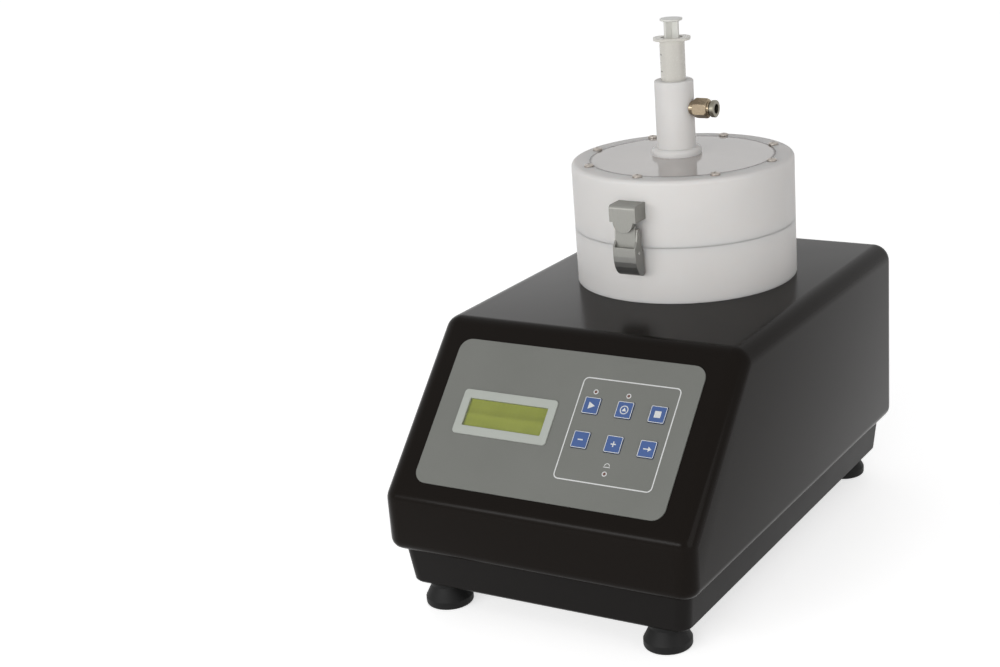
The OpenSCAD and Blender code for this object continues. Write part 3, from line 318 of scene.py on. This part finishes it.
def make_latch():
    """Satin cast metal with painted shade: bright above and darker towards the lever's foot."""
    g = Graph("satin_latch_metal")
    lines = g.noise(0.3 * MM, 4, 0.6, stretch=(1, 1, 0.08))
    dark_z, bright_z = 192 * MM, 214 * MM
    # Painted shade: the colour darkens from the top of the latch down to the lever's foot
    painted_foot_shade = g.remap(g.split(g.coords)["Z"], 0, 1, dark_z, bright_z)
    base = g.mix(painted_foot_shade, (0.195, 0.195, 0.193), (0.275, 0.273, 0.252))
    base = g.mix(g.remap(lines, 0, 0.25), base, (0.21, 0.21, 0.2))
    g.set(
        Base_Color=base, Metallic=0.85, Roughness=g.remap(lines, 0.44, 0.52),
        Normal=g.bump(lines, 0.003 * MM, normal=g.edges(0.45 * MM)),
    )
    return g.material


def make_lamp():
    """The dark red lens of a lamp that is off."""
    g = Graph("red_lamp_lens")
    base = g.mix(g.remap(g.noise(2 * MM, 2), 0, 1), (0.11, 0.045, 0.035), (0.16, 0.06, 0.045))
    g.set(
        Base_Color=base, Roughness=0.18, Coat_Weight=0.5,
        Normal=g.bump(g.noise(0.5 * MM), 0.002 * MM, normal=g.edges(0.1 * MM)),
    )
    return g.material


def make_print(name, size, dark, light, rough, fine):
    """Thin ink or shade on a surface: two close colours and a fine bump, without rounded edges."""
    g = Graph(name)
    base = g.mix(g.remap(g.noise(size, 3), 0, 1), dark, light)
    g.set(Base_Color=base, Roughness=rough, Normal=g.bump(g.noise(fine), 0.002 * MM))
    return g.material


housing = moulded(
    "satin_charcoal_housing", (0.0085, 0.0064, 0.0050), 0.2, grain=0.55, depth=0.005, patch=0.02, edge=0.5,
    wave=0.003, Specular_IOR_Level=0.06,
)
tray = moulded(
    "charcoal_tray", (0.0085, 0.0075, 0.0070), 0.38, grain=0.6, depth=0.012, patch=0.03, wave=0.005,
    Specular_IOR_Level=0.09,
)
rubber = moulded(
    "foot_rubber", (0.0050, 0.0050, 0.0050), 0.55, grain=0.7, depth=0.03, patch=0.15, edge=0.6,
    Specular_IOR_Level=0.2,
)
black = moulded("black_gloss_plastic", (0.012, 0.012, 0.012), 0.22, grain=0.3, depth=0.002)
seal = moulded("black_seal_rubber", (0.015, 0.015, 0.015), 0.5)
silicone = moulded("red_silicone_seal", (0.42, 0.09, 0.055), 0.5)
white = make_white()
overlay = make_overlay()
bezel = moulded("pale_bezel_film", (0.455, 0.48, 0.44), 0.38, grain=0.4, depth=0.004, patch=0.02, edge=0.25)
ink = moulded("white_ink", (0.72, 0.73, 0.72), 0.5, grain=0.3, depth=0.002, patch=0.03, edge=0.02)
key_film = moulded(
    "blue_key_film", (0.052, 0.110, 0.30), 0.34, grain=0.35, depth=0.003, patch=0.06, edge=0.3,
)
display = make_display()
disc = clear("clear_acrylic_disc", (0.66, 0.615, 0.58), 0.06, alpha=0.62, alpha_edge=0.93, coat=0.5)
window = clear("clear_display_window", (0.60, 0.66, 0.40), 0.04, alpha=0.06, alpha_edge=0.3, level=0.4)
milky = clear("milky_syringe_polymer", (0.82, 0.80, 0.74), 0.24, alpha=0.68, alpha_edge=0.96)
hose = clear("clear_hose", (0.62, 0.68, 0.74), 0.2, alpha=0.45, alpha_edge=0.9)
plunger_white = moulded(
    "white_syringe_plunger", (0.74, 0.74, 0.70), 0.3, grain=0.5, depth=0.003, patch=0.02, edge=0.3,
)
steel = metal("bright_steel", (0.56, 0.55, 0.53), 0.26)
screw_steel = metal("dull_screw_steel", (0.42, 0.385, 0.35), 0.38)
nickel = metal("satin_nickel", (0.25, 0.235, 0.19), 0.36)
brass = metal("plated_brass", (0.33, 0.265, 0.185), 0.24, brush=(0.1, 1, 1), line=0.3)
raw_brass = metal("raw_brass", (0.60, 0.43, 0.19), 0.3)
aluminium = metal("machined_aluminium", (0.66, 0.66, 0.67), 0.3, line=0.35)
copper = metal("copper_winding", (0.55, 0.26, 0.13), 0.35, brush=(1, 1, 0.1))
rotor = metal("laminated_rotor", (0.22, 0.22, 0.23), 0.45, brush=(0.1, 0.1, 1), line=0.5)
motor = moulded("painted_motor", (0.05, 0.053, 0.058), 0.4, grain=0.8, depth=0.02)
board = moulded("green_circuit_board", (0.015, 0.10, 0.045), 0.3, grain=0.5, depth=0.01, patch=0.2)
latch = make_latch()
lamp = make_lamp()
# The disc edge's colour is painted shade; the scale's colour is its printed ink
disc_edge = make_print(
    "disc_edge_shade", 10 * MM, (0.055, 0.038, 0.032), (0.075, 0.055, 0.048), rough=0.3, fine=0.6 * MM,
)
scale_ink = make_print(
    "black_scale_ink", 2 * MM, (0.02, 0.02, 0.02), (0.06, 0.06, 0.055), rough=0.45, fine=0.3 * MM,
)

FINISH = {
    housing: ["housing_cover"],
    tray: ["base_tray"],
    rubber: ["rubber_feet"],
    overlay: ["panel_overlay"],
    bezel: ["display_bezel"],
    window: ["display_window"],
    display: ["display_module"],
    board: ["panel_board", "control_board"],
    lamp: ["indicator_lamps"],
    key_film: list(KEYS),
    aluminium: ["motor_plate", "vacuum_chuck", "power_supply"],
    motor: ["motor_housing"],
    copper: ["stator"],
    rotor: ["rotor"],
    steel: [
        "foot_screws", "spindle_bearings", "spindle_shaft", "bowl_screws", "hinge_leaf_lower", "hinge_pin",
        "bowl_hardware_screws", "latch_pin", "latch_spring", "lid_magnet", "hinge_leaf_upper",
        "lid_hardware_screws", "syringe_needle",
    ],
    screw_steel: ["lid_screws"],
    seal: ["chuck_seal", "plunger_seal"],
    silicone: ["lid_seal"],
    raw_brass: ["rotary_union", "vacuum_port"],
    hose: ["vacuum_hose"],
    black: [
        "solenoid_valve", "power_inlet", "fuse_holder", "rocker_frame", "power_rocker", "pump_outlet",
        "cover_sensor",
    ],
    white: ["chamber_bowl", "lid_ring", "syringe_holder"],
    latch: ["latch_base", "latch_lever", "latch_keeper"],
    disc: ["lid_disc"],
    brass: ["gas_fitting"],
    nickel: ["fitting_collar"],
    milky: ["syringe_barrel"],
    plunger_white: ["syringe_plunger"],
}
for finish, names in FINISH.items():
    for name in names:
        nodes[name].data.materials.clear()
        nodes[name].data.materials.append(finish)


# ---------- Smooth shading of the moulded shells ----------

def smooth_group(angle):
    """A modifier tree that joins split corners and shades smooth all but edges sharper than the angle."""
    tree = bpy.data.node_groups.new("smooth_shell", "GeometryNodeTree")
    tree.interface.new_socket("Geometry", in_out="INPUT", socket_type="NodeSocketGeometry")
    tree.interface.new_socket("Geometry", in_out="OUTPUT", socket_type="NodeSocketGeometry")
    add = tree.nodes.new
    start, end = add("NodeGroupInput"), add("NodeGroupOutput")
    bare = add("GeometryNodeRemoveAttribute")
    bare.inputs["Name"].default_value = "custom_normal"
    weld = add("GeometryNodeMergeByDistance")
    weld.inputs["Distance"].default_value = 0.02 * MM
    faces = add("GeometryNodeSetShadeSmooth")
    faces.domain = "FACE"
    edges = add("GeometryNodeSetShadeSmooth")
    edges.domain = "EDGE"
    edges.inputs["Shade Smooth"].default_value = False
    sharp = add("FunctionNodeCompare")
    sharp.operation = "GREATER_THAN"
    sharp.inputs[1].default_value = angle
    link = tree.links.new
    link(start.outputs[0], bare.inputs["Geometry"])
    link(bare.outputs["Geometry"], weld.inputs["Geometry"])
    link(weld.outputs["Geometry"], faces.inputs["Geometry"])
    link(faces.outputs["Geometry"], edges.inputs["Geometry"])
    link(add("GeometryNodeInputMeshEdgeAngle").outputs["Unsigned Angle"], sharp.inputs[0])
    link(sharp.outputs[0], edges.inputs["Selection"])
    link(edges.outputs["Geometry"], end.inputs[0])
    return tree


shell_smooth = smooth_group(angle=math.radians(24))
for name in ("housing_cover", "base_tray"):
    nodes[name].modifiers.new("smooth", "NODES").node_group = shell_smooth


# ---------- Outlines and solids ----------

def arc(cx, cy, r, start, end, steps):
    """Points of an arc, in degrees, with both ends."""
    points = []
    for i in range(steps + 1):
        a = math.radians(start + (end - start) * i / steps)
        points.append((cx + r * math.cos(a), cy + r * math.sin(a)))
    return points


def circle(cx, cy, r, steps=40):
    return arc(cx, cy, r, 0, 360, steps)[:-1]


def rounded(cx, cy, w, h, r, steps=8):
    """Points of a rounded rectangle."""
    points = []
    for side_x, side_y, start in ((1, 1, 0), (-1, 1, 90), (-1, -1, 180), (1, -1, 270)):
        points += arc(cx + side_x * (w / 2 - r), cy + side_y * (h / 2 - r), r, start, start + 90, steps)
    return points


def arrowhead(cx, cy, length, half_w):
    """A triangle that points to the right, from the middle of its base."""
    return [(cx, cy - half_w), (cx + length, cy), (cx, cy + half_w)]


def slab(bm, outline, z0, z1, place, hole=None):
    """Adds a flat solid with the outline, from z0 to z1, moved by place.

    With a hole outline of as many points it is a band between the two.
    """
    def ring(points, z):
        return [bm.verts.new(place @ Vector((x, y, z))) for x, y in points]
    low, high = ring(outline, z0), ring(outline, z1)
    n = len(outline)
    for i in range(n):
        bm.faces.new((low[i], low[(i + 1) % n], high[(i + 1) % n], high[i]))
    if hole is None:
        bm.faces.new(high)
        bm.faces.new(low)
        return
    low_in, high_in = ring(hole, z0), ring(hole, z1)
    for i in range(n):
        j = (i + 1) % n
        bm.faces.new((high[i], high[j], high_in[j], high_in[i]))
        bm.faces.new((low_in[i], low_in[j], low[j], low[i]))
        bm.faces.new((high_in[i], high_in[j], low_in[j], low_in[i]))


def piece(name, bm, material, body):
    """Makes an object of the mesh, gives it its finish and lets it ride on its body."""
    mesh = bpy.data.meshes.new(name)
    bmesh.ops.recalc_face_normals(bm, faces=bm.faces)
    bm.to_mesh(mesh)
    bm.free()
    obj = bpy.data.objects.new(name, mesh)
    bpy.context.scene.collection.objects.link(obj)
    mesh.materials.append(material)
    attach(obj, body)
    return obj


def upright(x, y, z):
    """A frame in millimetres that stands at a place given in metres."""
    return Matrix.Translation((x, y, z)) @ Matrix.Scale(MM, 4)


# ---------- Prints on the panel, in the slope's frame ----------

# In millimetres: how thick the ink is, how deep it is set, and the lines that the signs are drawn with
INK_T = 0.03
SINK = 0.01
BAR_W = 0.75
BAR_R = 0.2
CORNER_STEPS = 3


def printed(bm, outline, surface, hole=None):
    """Ink on a surface that lies so high above the slope."""
    slab(bm, outline, surface - SINK, surface + INK_T, ON_SLOPE, hole)


def bar(bm, u, v, w, h, surface):
    """A printed bar with rounded corners."""
    printed(bm, rounded(u, v, w, h, BAR_R, CORNER_STEPS), surface)


def key_field(bm):
    """The frame around the keys."""
    u, v, w, h = KEYS["key_plus"][0], 62.95, 68, 68.9
    r, line = 3.6, 0.75
    inside = rounded(u, v, w - 2 * line, h - 2 * line, r - line)
    printed(bm, rounded(u, v, w, h, r), FILM_TOP, inside)


def lamp_ring(bm, u, v):
    """The raised pale ring around a lamp's lens, which it overlaps."""
    lens_r, outside, overlap, ring_top = 1.5, 0.15, 0.45, 1.12
    outline, hole = circle(u, v, lens_r + outside), circle(u, v, lens_r - overlap)
    slab(bm, outline, FILM_TOP - SINK, ring_top, ON_SLOPE, hole)


def cover_sign(bm):
    """The sign of the cover lamp: a dome over a line."""
    u, v = KEYS["key_plus"][0], 41.2
    dome_r, dome_in, base_w, base_h, base_drop = 1.9, 1.45, 4.6, 0.5, 0.75
    dome = arc(u, v, dome_r, 0, 180, 12) + arc(u, v, dome_in, 180, 0, 12)
    printed(bm, dome, FILM_TOP)
    bar(bm, u, v - base_drop, base_w, base_h, FILM_TOP)


def panel_print():
    bm = bmesh.new()
    key_field(bm)
    for u, v in LAMPS:
        lamp_ring(bm, u, v)
    cover_sign(bm)
    piece("panel_print", bm, ink, "housing")


def run_sign(bm, u, v):
    """A solid triangle that points to the right."""
    back, length, half_w = 1.9, 4.4, 2.4
    printed(bm, arrowhead(u - back, v, length, half_w), KEY_TOP)


def pump_sign(bm, u, v):
    """A pump: a ring around a triangle that points up."""
    ring_r, line = 2.9, 0.6
    half_w, base_drop, tip_rise = 1.5, 0.9, 1.6
    printed(bm, circle(u, v, ring_r), KEY_TOP, circle(u, v, ring_r - line))
    triangle = [(u - half_w, v - base_drop), (u + half_w, v - base_drop), (u, v + tip_rise)]
    printed(bm, triangle, KEY_TOP)


def stop_sign(bm, u, v):
    """A solid square."""
    side, r = 4.4, 0.3
    printed(bm, rounded(u, v, side, side, r, CORNER_STEPS), KEY_TOP)


def minus_sign(bm, u, v):
    length = 3.6
    bar(bm, u, v, length, BAR_W, KEY_TOP)


def plus_sign(bm, u, v):
    """A minus with a bar above it and one below."""
    offset, length = 1.1, 1.42
    minus_sign(bm, u, v)
    for side in (-1, 1):
        bar(bm, u, v + side * offset, BAR_W, length, KEY_TOP)


def cursor_sign(bm, u, v):
    """An arrow to the right."""
    shaft_l, shaft_back = 3.4, 0.9
    head_l, head_half_w, head_ahead = 2.3, 1.7, 0.7
    bar(bm, u - shaft_back, v, shaft_l, BAR_W, KEY_TOP)
    printed(bm, arrowhead(u + head_ahead, v, head_l, head_half_w), KEY_TOP)


SIGNS = {
    "key_run": run_sign, "key_pump": pump_sign, "key_stop": stop_sign,
    "key_minus": minus_sign, "key_plus": plus_sign, "key_cursor": cursor_sign,
}


def key_print(name):
    """A key's edge line and its sign."""
    edge_w, edge_r, inner_r, line, steps = 10.9, 0.75, 0.4, 0.4, 4
    inner_w = edge_w - 2 * line
    u, v = KEYS[name]
    bm = bmesh.new()
    inside = rounded(u, v, inner_w, inner_w, inner_r, steps)
    printed(bm, rounded(u, v, edge_w, edge_w, edge_r, steps), KEY_TOP, inside)
    SIGNS[name](bm, u, v)
    piece(name + "_print", bm, ink, name)


panel_print()
for key in KEYS:
    key_print(key)


# ---------- Chamber and holder ----------

def disc_rim():
    """A dark ring of painted shade where the disc's polished edge looks dark, seen through its face."""
    outer, inner = DISC_R / MM + 0.15, DISC_R / MM - 1.3
    sunk, proud, steps = 0.3, 0.02, 128
    bm = bmesh.new()
    place = upright(CHAMBER.x, CHAMBER.y, DISC_TOP)
    slab(bm, circle(0, 0, outer, steps), -sunk, proud, place, circle(0, 0, inner, steps))
    piece("disc_edge_line", bm, disc_edge, "lid")


def seam_lip():
    """The pale inner step that shows in the seam between the bowl and the lid."""
    width, clear_z, steps = 2.8, 0.01, 160
    outer = CHAMBER_R / MM
    gap = (foot("lid_ring") - top("chamber_bowl")) / MM
    bm = bmesh.new()
    place = upright(CHAMBER.x, CHAMBER.y, top("chamber_bowl"))
    hole = circle(0, 0, outer - width, steps)
    slab(bm, circle(0, 0, outer, steps), clear_z, gap - clear_z, place, hole)
    piece("seam_lip", bm, white, "lid")


def holder_profile():
    """Radius and height along the holder's section in millimetres, from the foot of its hub's bore."""
    hub_bore, seat = 4.2, 5.95
    spigot, spigot_foot = 9.9, -8
    flange, flange_h, flange_round = 17.1, 5, 2.4
    tower, bore, height, chamfer = 13.3, 8.8, 50.5, 0.6
    return [
        (hub_bore, spigot_foot), (spigot, spigot_foot), (spigot, 0),
        (flange, 0),
        *arc(flange - flange_round, flange_h - flange_round, flange_round, 0, 90, 6),
        (tower, flange_h), (tower, height - chamfer),
        (tower - chamfer, height), (bore, height), (bore, seat), (hub_bore, seat),
    ]


def holder_tower():
    """The syringe holder as tall as in the photograph: a flanged tube, its spigot through the disc."""
    steps, sharp = 96, math.radians(35)
    place = upright(SYRINGE.x, SYRINGE.y, DISC_TOP)
    profile = holder_profile()
    bm = bmesh.new()
    rings = [
        [bm.verts.new(place @ Vector((r * x, r * y, z))) for r, z in profile]
        for x, y in circle(0, 0, 1, steps)
    ]
    n = len(profile)
    for near, far in zip(rings, rings[1:] + rings[:1]):
        for k in range(n):
            j = (k + 1) % n
            bm.faces.new((near[k], near[j], far[j], far[k]))
    tower = piece("holder_tower", bm, white, "lid")
    for face in tower.data.polygons:
        face.use_smooth = True
    tower.modifiers.new("edges", "EDGE_SPLIT").split_angle = sharp
    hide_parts("syringe_holder")


disc_rim()
seam_lip()
holder_tower()


# ---------- Syringe ----------

# Heights in millimetres above the barrel's foot, and the angle in degrees where the lines start
SCALE_LINES = 56
SCALE_PITCH = 1.12
SCALE_FOOT = 6
SCALE_START = 196


def scale_line(bm, z, span, thick):
    """A line of the scale that follows the barrel over span degrees."""
    place = upright(SYRINGE.x, SYRINGE.y, BARREL_FOOT)
    inner, outer = BARREL_R / MM - SINK, BARREL_R / MM + INK_T
    section = ((inner, -thick / 2), (outer, -thick / 2), (outer, thick / 2), (inner, thick / 2))
    rows = [
        [bm.verts.new(place @ Vector((r * x, r * y, z + dz))) for r, dz in section]
        for x, y in arc(0, 0, 1, SCALE_START, SCALE_START + span, max(2, span // 6))
    ]
    for near, far in zip(rows, rows[1:]):
        for k in range(4):
            bm.faces.new((near[k], near[(k + 1) % 4], far[(k + 1) % 4], far[k]))
    bm.faces.new(rows[0])
    bm.faces.new(rows[-1])


def barrel_scale():
    """Graduation of the syringe: every fifth line is longer, and every tenth the longest."""
    bm = bmesh.new()
    for i in range(SCALE_LINES):
        if i % 10 == 0:
            span, thick = 44, 0.5
        elif i % 5 == 0:
            span, thick = 30, 0.32
        else:
            span, thick = 16, 0.2
        scale_line(bm, SCALE_FOOT + i * SCALE_PITCH, span, thick)
    piece("syringe_scale", bm, scale_ink, "syringe")


barrel_scale()


# ---------- Rear connectors ----------

# The pins of a mains connector in millimetres, with the earth pin above the other two
PIN_ROW = ((-7, -2), (0, 2), (7, -2))


def at_rear(node):
    """A frame in millimetres on the rear wall at a connector.

    Seen from behind, X runs to the right and Y up, and Z points out of the wall.
    """
    place = Matrix.Translation((centre(node).x, REAR_Y, centre(node).z))
    turn = Matrix.Rotation(math.pi, 4, "Z") @ Matrix.Rotation(math.pi / 2, 4, "X")
    return place @ turn @ Matrix.Scale(MM, 4)


def inlet_blades():
    """Three blades of the mains inlet, with their roots in its body."""
    w, h, r, root, tip = 2.06, 4.06, 0.3, -15.2, -2.97
    bm = bmesh.new()
    for x, y in PIN_ROW:
        slab(bm, rounded(x, y, w, h, r, CORNER_STEPS), root, tip, at_rear("power_inlet"))
    piece("inlet_blades", bm, raw_brass, "housing")


def outlet_contacts():
    """A pair of contact leaves inside each slot of the pump outlet."""
    w, h, r, apart, root, tip = 0.4, 3.6, 0.1, 1.9, -12, -3
    bm = bmesh.new()
    for x, y in PIN_ROW:
        for side in (-1, 1):
            leaf = rounded(x + side * apart / 2, y, w, h, r, CORNER_STEPS)
            slab(bm, leaf, root, tip, at_rear("pump_outlet"))
    piece("outlet_contacts", bm, raw_brass, "housing")


inlet_blades()
outlet_contacts()


# ---------- Studio ----------

def seen_ray(tree):
    """1 for rays from the camera, straight, mirrored or through something clear, and 0 for soft light."""
    path = tree.nodes.new("ShaderNodeLightPath")
    total = path.outputs["Is Camera Ray"]
    for kind in ("Is Glossy Ray", "Is Transmission Ray"):
        either = tree.nodes.new("ShaderNodeMath")
        either.operation = "MAXIMUM"
        tree.links.new(total, either.inputs[0])
        tree.links.new(path.outputs[kind], either.inputs[1])
        total = either.outputs[0]
    return total


def make_floor():
    """A pale floor that keeps the shadow.

    Light that only seen and mirrored floor gives off brings it to white away from the shadow.
    """
    half, glow_strength = 6.0, 0.65
    g = Graph("pale_floor")
    base = g.mix(g.remap(g.noise(0.4, 3), 0, 1), (0.80, 0.80, 0.795), (0.82, 0.82, 0.815))
    g.set(Base_Color=base, Roughness=0.6, Normal=g.bump(g.noise(2 * MM, 2), 0.02 * MM))
    mesh = bpy.data.meshes.new("floor")
    corners = [(-half, -half, 0), (half, -half, 0), (half, half, 0), (-half, half, 0)]
    mesh.from_pydata(corners, [], [(0, 1, 2, 3)])
    floor = bpy.data.objects.new("floor", mesh)
    bpy.context.scene.collection.objects.link(floor)
    mesh.materials.append(g.material)
    glow = g.add("ShaderNodeEmission")
    glow.inputs["Color"].default_value = (1, 1, 1, 1)
    g.link(g.math("MULTIPLY", seen_ray(g.tree), glow_strength), glow.inputs["Strength"])
    both = g.add("ShaderNodeAddShader")
    g.link(g.shader.outputs["BSDF"], both.inputs[0])
    g.link(glow.outputs["Emission"], both.inputs[1])
    g.link(both.outputs[0], g.out.inputs["Surface"])


def make_sky():
    """A sky that is white where it is seen and lights the object more softly."""
    world = bpy.data.worlds.new("studio")
    bpy.context.scene.world = world
    world.use_nodes = True
    tree = world.node_tree
    tree.nodes.clear()
    out = tree.nodes.new("ShaderNodeOutputWorld")
    soft, bright = tree.nodes.new("ShaderNodeBackground"), tree.nodes.new("ShaderNodeBackground")
    soft.inputs["Color"].default_value = (0.99, 0.985, 1.0, 1)
    soft.inputs["Strength"].default_value = 0.34
    bright.inputs["Color"].default_value = (1, 1, 1, 1)
    bright.inputs["Strength"].default_value = 1.0
    choose = tree.nodes.new("ShaderNodeMixShader")
    tree.links.new(seen_ray(tree), choose.inputs[0])
    tree.links.new(soft.outputs[0], choose.inputs[1])
    tree.links.new(bright.outputs[0], choose.inputs[2])
    tree.links.new(choose.outputs[0], out.inputs["Surface"])


def softbox(name, place, target, size, power, colour=(1, 1, 1)):
    """A rectangular lamp at place that faces target, with its size in metres and its power in watts."""
    data = bpy.data.lights.new(name, "AREA")
    data.shape = "RECTANGLE"
    data.size, data.size_y = size
    data.energy = power
    data.color = colour
    obj = bpy.data.objects.new(name, data)
    obj.location = place
    obj.rotation_euler = (Vector(target) - Vector(place)).to_track_quat("-Z", "Y").to_euler()
    bpy.context.scene.collection.objects.link(obj)


def make_camera():
    """The photograph's camera, fitted to the places of the housing's and the chamber's corners in it."""
    data = bpy.data.cameras.new("photo_camera")
    place = (0.53164, -1.00188, 0.51270)
    turn = Euler([math.radians(a) for a in (69.5068, 2.9540, 27.6209)])
    data.sensor_width = 36.0
    data.lens = 63.04
    data.shift_x = -0.1400
    data.shift_y = 0.0748
    data.clip_end = 50
    camera = bpy.data.objects.new("photo_camera", data)
    camera.matrix_world = Matrix.Translation(place) @ turn.to_matrix().to_4x4()
    bpy.context.scene.collection.objects.link(camera)
    bpy.context.scene.camera = camera


make_floor()
make_sky()
softbox("front_softbox", place=(-0.15, -1.65, 0.62), target=(0, 0, 0.2), size=(2.0, 0.3), power=16)
softbox(
    "right_softbox", place=(1.7, -0.4, 0.45), target=(0, 0, 0.2), size=(0.9, 0.9), power=5.2,
    colour=(1.0, 0.975, 0.96),
)
softbox("back_softbox", place=(-1.2, 1.2, 0.72), target=(0, 0, 0.15), size=(0.8, 0.7), power=0.9)
make_camera()
bpy.context.scene.view_settings.view_transform = "Standard"
